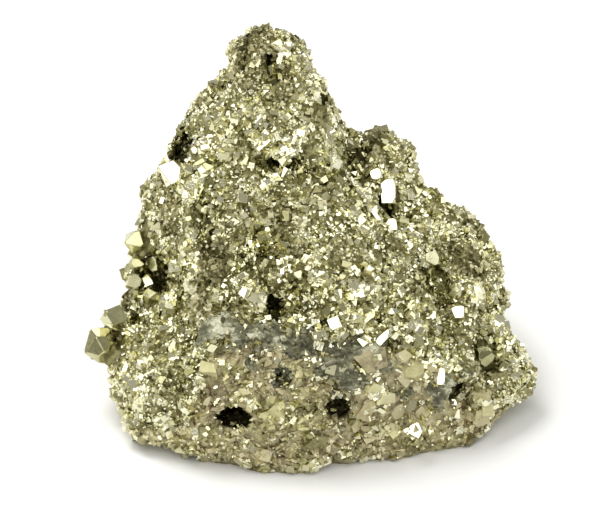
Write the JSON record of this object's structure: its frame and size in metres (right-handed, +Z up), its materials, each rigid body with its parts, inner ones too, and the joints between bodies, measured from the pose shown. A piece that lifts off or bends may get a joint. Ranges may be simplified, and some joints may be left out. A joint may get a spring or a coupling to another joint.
{
  "type": "pyrite specimen",
  "caption": "Hand-sized natural pyrite chunk, a peaked mass of grown-together brassy crystals that stands on its flat broken base for display or study.",
  "frame": {"origin": "middle of the footprint's bounding box, on the surface the specimen stands on", "axes": "+Z up, +X to the right along the widest extent, -Y out of the broken front face"},
  "size_m": [0.0654, 0.0526, 0.05],
  "materials": {
    "pyrite": "sparkling brassy metallic crystal faces on dull olive-brown massive ore",
    "matrix": "dull grey granular quartz seam"
  },
  "bodies": {
    "root": {"pyrite_cluster": "pyrite"}
  },
  "joints": []
}
